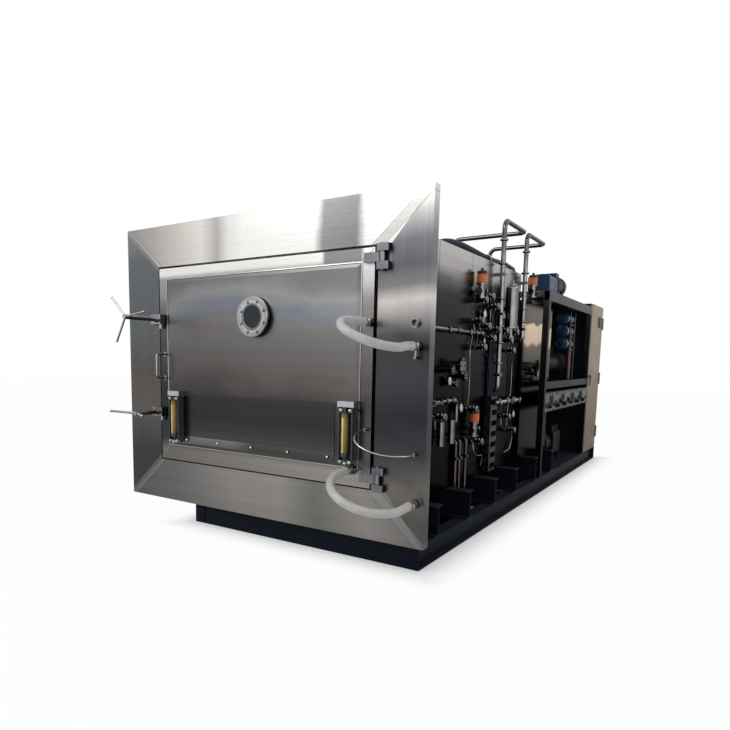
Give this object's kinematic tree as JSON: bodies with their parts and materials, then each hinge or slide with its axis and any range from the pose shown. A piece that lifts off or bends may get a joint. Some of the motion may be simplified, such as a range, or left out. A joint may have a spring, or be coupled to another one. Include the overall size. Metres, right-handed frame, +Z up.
{
  "type": "industrial freeze dryer",
  "caption": "Skid-mounted freeze dryer: a rectangular vacuum chamber behind a wide stainless wall panel with a large hinged door, a condenser, a machine bay and a control cabinet.",
  "frame": {"origin": "centre of the skid's footprint, on the floor", "axes": "+X to the machine's right-hand side seen from the door, +Y from the door to the control cabinet, +Z up"},
  "size_m": [2.812, 6.4792, 2.601],
  "materials": {
    "brushed_stainless": "satin",
    "polished_stainless": "polished",
    "dark_structure": "satin",
    "galvanised": "matte",
    "vessel_steel": "satin",
    "seal_rubber": "matte",
    "hose_silicone": "satin",
    "amber_glass": "clear",
    "sight_glass": "clear",
    "gauge_bracket": "satin",
    "machine_blue": "satin",
    "machine_grey": "satin",
    "receiver_black": "satin",
    "actuator_orange": "satin",
    "cabinet_beige": "satin",
    "handle_black": "matte",
    "coil_aluminium": "satin"
  },
  "bodies": {
    "base": {"skid_frame": "dark_structure", "bolsters": "dark_structure", "facade_top": "brushed_stainless", "facade_bottom": "brushed_stainless", "facade_left": "brushed_stainless", "facade_right": "brushed_stainless", "chamber_vessel": "vessel_steel", "chamber_ribs": "vessel_steel", "chamber_cladding": "brushed_stainless", "door_gasket": "seal_rubber", "shelf_rack": "vessel_steel", "condenser_vessel": "vessel_steel", "condenser_cladding": "brushed_stainless", "condenser_coil": "coil_aluminium", "isolation_valve": "vessel_steel", "machine_frame": "dark_structure", "cable_trays": "galvanised", "compressor_a": "machine_grey", "compressor_b": "machine_grey", "vacuum_pump": "machine_blue", "refrigerant_receiver": "receiver_black", "brine_tank": "brushed_stainless", "booster_motor": "machine_blue", "roots_booster": "machine_grey", "cooling_pipes": "brushed_stainless", "cabinet_shell": "cabinet_beige", "process_pipes": "polished_stainless", "valve_bodies": "polished_stainless", "valve_actuators": "actuator_orange", "filter_housing": "polished_stainless", "port_clusters": "polished_stainless", "hinge_blocks": "polished_stainless", "clamp_keepers": "polished_stainless", "facade_fittings": "polished_stainless", "upper_hose": "hose_silicone", "lower_hose": "hose_silicone", "capillary_tube": "hose_silicone", "shelf_1": "vessel_steel", "shelf_2": "vessel_steel", "shelf_3": "vessel_steel", "shelf_4": "vessel_steel", "shelf_5": "vessel_steel"},
    "door": {"door_leaf": "brushed_stainless", "door_panel": "brushed_stainless", "bottom_strip": "brushed_stainless", "lower_cover": "brushed_stainless", "sight_flange": "polished_stainless", "sight_glass": "sight_glass", "gauge_brackets": "gauge_bracket", "gauge_tubes": "amber_glass", "pull_handle": "polished_stainless", "hinge_arms": "polished_stainless", "clamp_blocks": "polished_stainless", "door_fittings": "polished_stainless"},
    "star": {"star_handle": "polished_stainless"},
    "lever": {"lever_handle": "polished_stainless"},
    "cabinet_leaf": {"cabinet_door": "cabinet_beige"},
    "cabinet_grip": {"cabinet_handle": "handle_black"},
    "isolation_plate": {"valve_plate": "vessel_steel"},
    "valve_grip": {"valve_lever": "handle_black"}
  },
  "joints": [
    {"name": "door_hinge", "type": "hinge", "parent": "base", "child": "door", "pos_m": [0.7385, -3.0165, 1.298], "axis": [0, 0, 1], "range_deg": [0, 110], "deforming": ["upper_hose", "lower_hose", "capillary_tube"]},
    {"name": "star_turn", "type": "hinge", "parent": "door", "child": "star", "pos_m": [-1.322, -3.194, 1.669], "axis": [0, 1, 0], "range_deg": [0, 90]},
    {"name": "lever_turn", "type": "hinge", "parent": "door", "child": "lever", "pos_m": [-1.322, -3.194, 0.913], "axis": [0, 1, 0], "range_deg": [0, 90]},
    {"name": "isolation_slide", "type": "slide", "parent": "base", "child": "isolation_plate", "axis": [0, 1, 0], "range_m": [0, 0.25]},
    {"name": "cabinet_door_hinge", "type": "hinge", "parent": "base", "child": "cabinet_leaf", "pos_m": [1.029, 2.922, 1.153], "axis": [0, 0, 1], "range_deg": [0, 110]},
    {"name": "cabinet_handle_turn", "type": "hinge", "parent": "cabinet_leaf", "child": "cabinet_grip", "pos_m": [1.02, 2.226, 1.19248], "axis": [1, 0, 0], "range_deg": [0, 90]},
    {"name": "valve_lever_turn", "type": "hinge", "parent": "base", "child": "valve_grip", "pos_m": [0.881, -2.474, 1.066], "axis": [1, 0, 0], "range_deg": [0, 90]}
  ]
}
